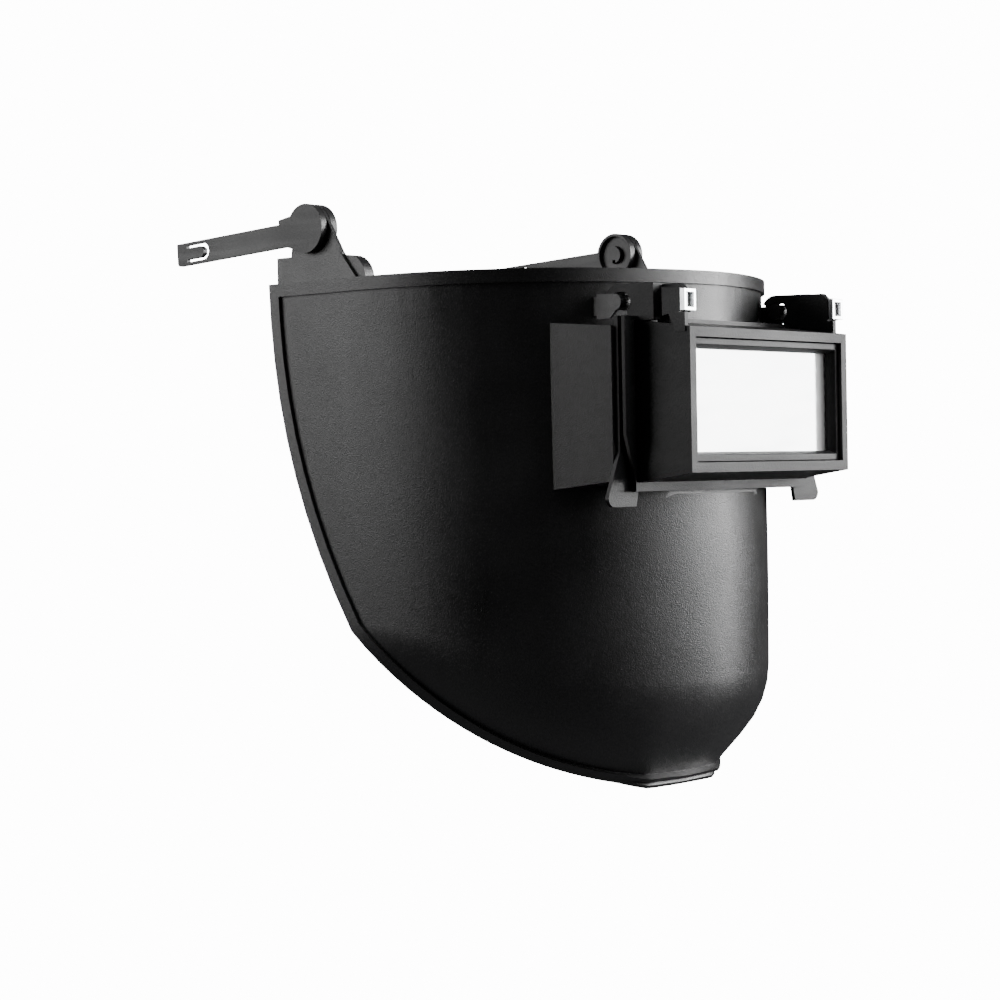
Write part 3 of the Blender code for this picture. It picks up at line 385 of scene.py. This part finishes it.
def lens_sheet(name, tint, rough, coat_metal, clearness, ior):
    """Polished lens sheet with faint wipe marks in its gloss."""
    mat = bpy.data.materials.new(name)
    mat.use_nodes = True
    nodes = mat.node_tree.nodes
    links = mat.node_tree.links
    shader = nodes["Principled BSDF"]
    shader.inputs["Metallic"].default_value = coat_metal
    shader.inputs["Transmission Weight"].default_value = clearness
    shader.inputs["IOR"].default_value = ior
    wipes = nodes.new("ShaderNodeGroup")
    wipes.node_tree = rubbing_marks
    wipes.inputs["Stretch"].default_value = WIPE_STRETCH
    gloss = nodes.new("ShaderNodeMapRange")
    gloss.inputs["To Min"].default_value = rough[0]
    gloss.inputs["To Max"].default_value = rough[1]
    film = nodes.new("ShaderNodeValToRGB")
    film.color_ramp.elements[0].color = tint
    wiped = [tint[i] * WIPE_TINT[i] for i in range(3)]
    film.color_ramp.elements[1].color = (*wiped, 1)
    ripple = nodes.new("ShaderNodeBump")
    ripple.inputs["Strength"].default_value = WIPE_RELIEF
    ripple.inputs["Distance"].default_value = WIPE_DEPTH
    links.new(wipes.outputs["Mask"], gloss.inputs["Value"])
    links.new(gloss.outputs["Result"], shader.inputs["Roughness"])
    links.new(wipes.outputs["Mask"], film.inputs["Fac"])
    links.new(film.outputs["Color"], shader.inputs["Base Color"])
    links.new(wipes.outputs["Mask"], ripple.inputs["Height"])
    links.new(ripple.outputs["Normal"], shader.inputs["Normal"])
    return mat


clear_sheet = lens_sheet("clear_sheet", CLEAR_TINT, CLEAR_ROUGH, CLEAR_METAL, CLEARNESS, CLEAR_IOR)
softened("safety_plate", "polished_safety", "shield", clear_sheet, PLATE_EDGE,
         FLATNESS)


# Lift front
# The hinged lens front: box, flange, finger tabs, hinge hooks and clip blocks, injection moulded in
# one piece in black nylon. Its hooks snap over the pins of the shell.
FRONT_DARK = (0.008, 0.008, 0.0085, 1)
FRONT_LIGHT = (0.015, 0.015, 0.016, 1)
FRONT_GRAIN = 1600
FRONT_RELIEF = 0.6
FRONT_ROUGH = (0.38, 0.50)
FRONT_SHEEN = 0.29
FRONT_STRETCH = (12, 60, 90)
FRONT_RUB = 0.06
FRONT_EDGE = 0.0004

front_black = black_plastic("front_black", FRONT_DARK, FRONT_LIGHT, FRONT_GRAIN, FRONT_RELIEF,
                            FRONT_ROUGH, FRONT_SHEEN, FRONT_STRETCH, FRONT_RUB)
softened("lift_front", "moulded_lift_front", "lift", front_black, FRONT_EDGE,
         FLATNESS)


# Filter plate
# The welding filter, a pressed and polished glass sheet with a reflective coat on its front; its
# near-white colour is painted reflection of the studio light.
# It drops into the recess of the box and the bezel holds it.
# Painted reflection: the plate's near-white colour stands in for the studio light mirrored in it;
# the metallic coat adds real reflection on top.
FILTER_PAINTED_WHITE = (0.94, 0.95, 0.95, 1)
FILTER_ROUGH = (0.10, 0.20)
FILTER_METAL = 0.35
FILTER_CLEARNESS = 0.0
FILTER_IOR = 1.52

filter_glass = lens_sheet("filter_glass", FILTER_PAINTED_WHITE, FILTER_ROUGH, FILTER_METAL,
                          FILTER_CLEARNESS, FILTER_IOR)
softened("filter_plate", "polished_filter", "lift", filter_glass, PLATE_EDGE,
         FLATNESS)


# Window bezel
# The frame in front of the filter plate, moulded in the same black nylon as the lens front, with a
# chamfer down to its opening. It presses into the recess of the box.
BEZEL_EDGE = 0.0003

softened("window_bezel", "moulded_bezel", "lift", front_black, BEZEL_EDGE, FLATNESS)


# Lens clips
# Two small square clips pressed from bright steel strip, open to the front, each snapped onto the
# front of a clip block. Rolling and pressing leave fine upright streaks in the metal.
CLIP_DARK = (0.62, 0.63, 0.64, 1)
CLIP_BRIGHT = (0.84, 0.85, 0.86, 1)
CLIP_ROUGH = (0.22, 0.38)
CLIP_STRETCH = (2500, 2500, 90)
CLIP_RELIEF = 0.2
CLIP_DEPTH = 0.00005
CLIP_EDGE = 0.00015

clip_steel = bpy.data.materials.new("clip_steel")
clip_steel.use_nodes = True
steel_nodes = clip_steel.node_tree.nodes
steel_links = clip_steel.node_tree.links
steel_shader = steel_nodes["Principled BSDF"]
steel_shader.inputs["Metallic"].default_value = 1.0
rolling = steel_nodes.new("ShaderNodeGroup")
rolling.node_tree = rubbing_marks
rolling.inputs["Stretch"].default_value = CLIP_STRETCH
steel_tone = steel_nodes.new("ShaderNodeValToRGB")
steel_tone.color_ramp.elements[0].color = CLIP_BRIGHT
steel_tone.color_ramp.elements[1].color = CLIP_DARK
steel_gloss = steel_nodes.new("ShaderNodeMapRange")
steel_gloss.inputs["To Min"].default_value = CLIP_ROUGH[0]
steel_gloss.inputs["To Max"].default_value = CLIP_ROUGH[1]
steel_bump = steel_nodes.new("ShaderNodeBump")
steel_bump.inputs["Strength"].default_value = CLIP_RELIEF
steel_bump.inputs["Distance"].default_value = CLIP_DEPTH
steel_links.new(rolling.outputs["Mask"], steel_tone.inputs["Fac"])
steel_links.new(steel_tone.outputs["Color"], steel_shader.inputs["Base Color"])
steel_links.new(rolling.outputs["Mask"], steel_gloss.inputs["Value"])
steel_links.new(steel_gloss.outputs["Result"], steel_shader.inputs["Roughness"])
steel_links.new(rolling.outputs["Mask"], steel_bump.inputs["Height"])
steel_links.new(steel_bump.outputs["Normal"], steel_shader.inputs["Normal"])
for side in SIDES:
    softened("lens_clip_" + side, "spring_clip_" + side, "lift", clip_steel,
             CLIP_EDGE, FLATNESS)


# Arms
# Two arms with a flat blade for the side slot of the hard hat and a sprung tongue in the blade,
# moulded in tougher, slightly glossier nylon. A round head with a post pivots in the ear.
ARM_DARK = (0.009, 0.009, 0.0095, 1)
ARM_LIGHT = (0.018, 0.018, 0.019, 1)
ARM_GRAIN = 1600
ARM_RELIEF = 0.4
ARM_ROUGH = (0.36, 0.48)
ARM_SHEEN = 0.5
ARM_STRETCH = (200, 14, 200)
ARM_RUB = 0.10
ARM_EDGE = 0.0003

arm_black = black_plastic("arm_black", ARM_DARK, ARM_LIGHT, ARM_GRAIN, ARM_RELIEF, ARM_ROUGH,
                          ARM_SHEEN, ARM_STRETCH, ARM_RUB)
for side in SIDES:
    softened("arm_" + side, "moulded_arm_" + side, side + "_arm", arm_black,
             ARM_EDGE, FLATNESS)


# Pivot cups
# Two round cups inside the ears that hold the posts of the arms, moulded in the nylon of the arms.
# Each is keyed to the flats of its post and turns with the arm.
CUP_EDGE = 0.0003

for side in SIDES:
    softened("pivot_cup_" + side, "moulded_cup_" + side, side + "_arm", arm_black,
             CUP_EDGE, FLATNESS)
